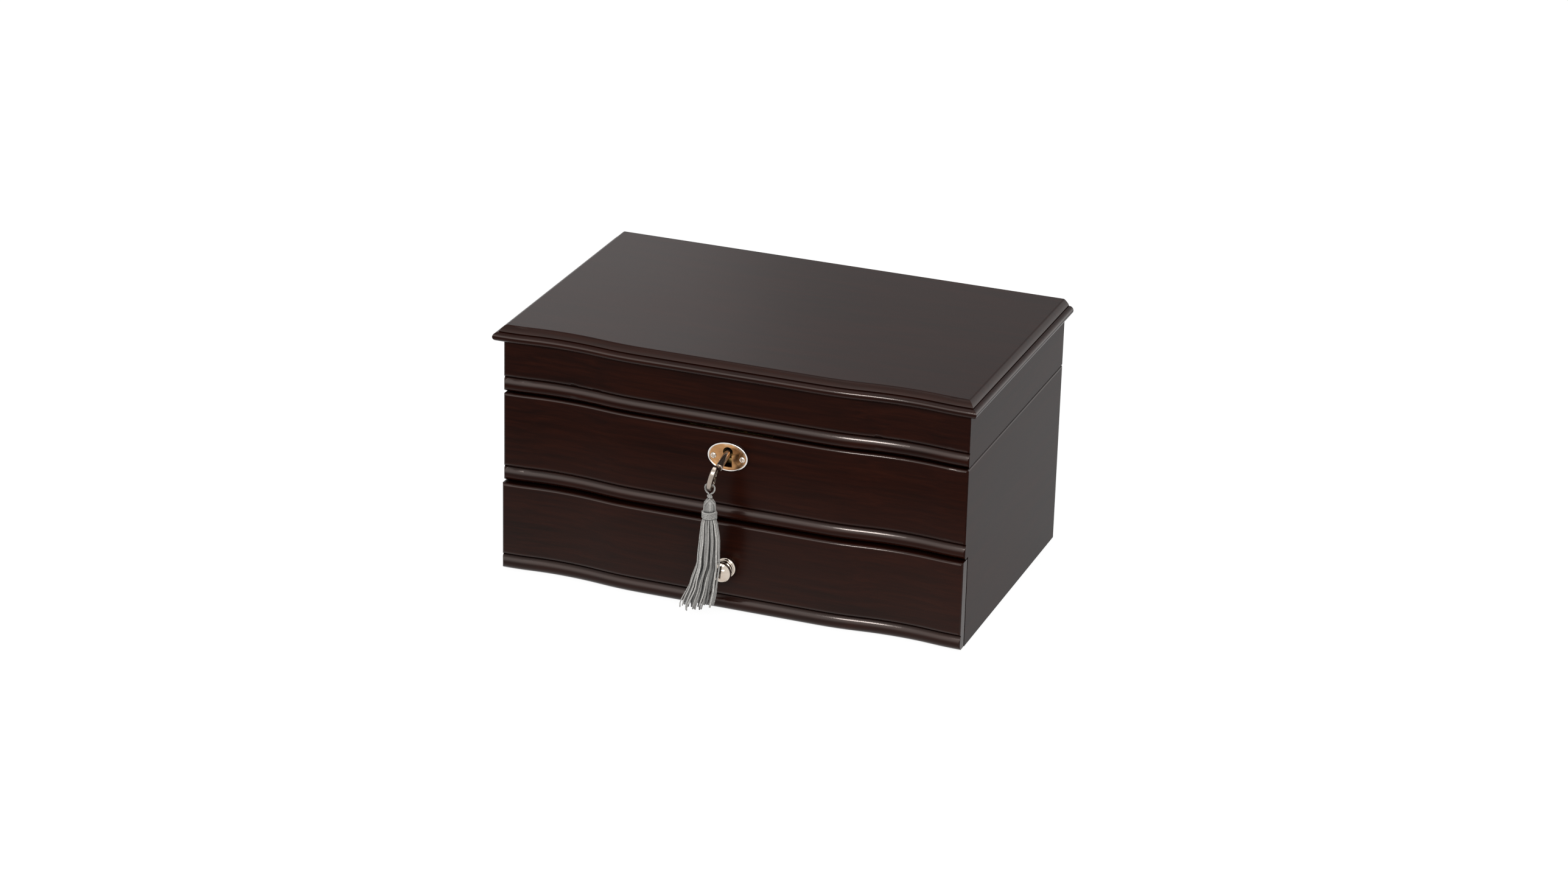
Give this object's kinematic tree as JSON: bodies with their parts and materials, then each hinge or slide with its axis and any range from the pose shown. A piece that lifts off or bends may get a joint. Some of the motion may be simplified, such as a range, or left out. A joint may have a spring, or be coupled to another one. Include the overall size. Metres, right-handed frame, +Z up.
{
  "type": "wooden jewelry box",
  "caption": "Wooden jewelry box with serpentine moulded fronts, a hinged mirror lid, a drawer with a knob, and a working lock with a key and hanging tassel.",
  "frame": {"origin": "middle of the felt under the box, on the surface that it stands on", "axes": "+X to the right seen from the drawer side, +Y to the back, +Z up"},
  "size_m": [0.331, 0.2423, 0.1735],
  "materials": {
    "espresso_wood": "smooth dark espresso stain under a clear satin to semi-gloss coat",
    "inner_wood": "plain stained board inside the box",
    "velvet": "short soft pile",
    "nickel": "polished nickel, lightly brushed on the key",
    "brass": "pressed brass, lightly polished",
    "grey_yarn": "silky grey rayon yarn and twisted cord",
    "felt": "thin black felt",
    "mirror_glass": "bevelled silvered glass"
  },
  "bodies": {
    "case": {"left_side_panel": "espresso_wood", "right_side_panel": "espresso_wood", "back_panel": "espresso_wood", "upper_front": "espresso_wood", "deck_panel": "inner_wood", "bottom_panel": "inner_wood", "base_felt": "felt", "drawer_stop": "inner_wood", "tray_lining": "velvet", "long_divider": "velvet", "front_cross_divider": "velvet", "back_cross_dividers": "velvet", "ring_rolls": "velvet", "escutcheon": "nickel", "escutcheon_screws": "nickel", "lock_case": "brass", "lock_back_plate": "brass", "lock_screws": "brass", "left_hinge_case_leaf": "brass", "right_hinge_case_leaf": "brass", "hinge_pins": "brass", "case_hinge_screws": "brass"},
    "lid": {"lid_board": "espresso_wood", "lid_front_rail": "espresso_wood", "lid_left_rail": "espresso_wood", "lid_right_rail": "espresso_wood", "lid_back_rail": "espresso_wood", "lid_pad": "velvet", "mirror": "mirror_glass", "strike_plate": "brass", "strike_screws": "brass", "left_hinge_lid_leaf": "brass", "right_hinge_lid_leaf": "brass", "lid_hinge_screws": "brass"},
    "drawer": {"drawer_front": "espresso_wood", "drawer_left_side": "inner_wood", "drawer_right_side": "inner_wood", "drawer_back": "inner_wood", "drawer_bottom": "inner_wood", "drawer_lining": "velvet", "drawer_divider": "velvet", "knob": "nickel", "knob_screw": "nickel"},
    "bolt": {"lock_bolt": "brass"},
    "key": {"key": "nickel"},
    "loop": {"cord_loop": "grey_yarn"},
    "knot": {"tassel_knot": "grey_yarn"},
    "tassel": {"tassel_head": "grey_yarn", "neck_wrap": "grey_yarn", "tassel_skirt": "grey_yarn"}
  },
  "joints": [
    {"name": "lid_hinge", "type": "hinge", "parent": "case", "child": "lid", "pos_m": [0, 0.1018, 0.1265], "axis": [-1, 0, 0], "range_deg": [0, 94.5]},
    {"name": "drawer_slide", "type": "slide", "parent": "case", "child": "drawer", "axis": [0, -1, 0], "range_m": [0, 0.115], "deforming": ["tassel_skirt"]},
    {"name": "key_turn", "type": "hinge", "parent": "case", "child": "key", "pos_m": [-0.0011, -0.1024, 0.1116], "axis": [0, 0.9613, 0.2756], "range_deg": [-15.01, 75.01]},
    {"name": "bolt_slide", "type": "slide", "parent": "case", "child": "bolt", "axis": [-1, 0, 0], "range_m": [-0.00075, 0.00375]},
    {"name": "tassel_hang", "type": "hinge", "parent": "key", "child": "loop", "pos_m": [-0.00316, -0.1271, 0.09651], "axis": [0, 0.9613, 0.2756], "range_deg": [-75.01, 15.01]},
    {"name": "tassel_sway", "type": "hinge", "parent": "loop", "child": "knot", "pos_m": [-0.00316, -0.1271, 0.09091], "axis": [0, 1, 0], "range_deg": [-35, 35]},
    {"name": "tassel_swing", "type": "hinge", "parent": "knot", "child": "tassel", "pos_m": [-0.00316, -0.1271, 0.09091], "axis": [-1, 0, 0], "range_deg": [-1, 60]}
  ],
  "couplings": [
    {"joint": "key_turn", "follows": "bolt_slide", "rad_per_m": 349.07},
    {"joint": "tassel_hang", "follows": "bolt_slide", "rad_per_m": -349.07}
  ]
}
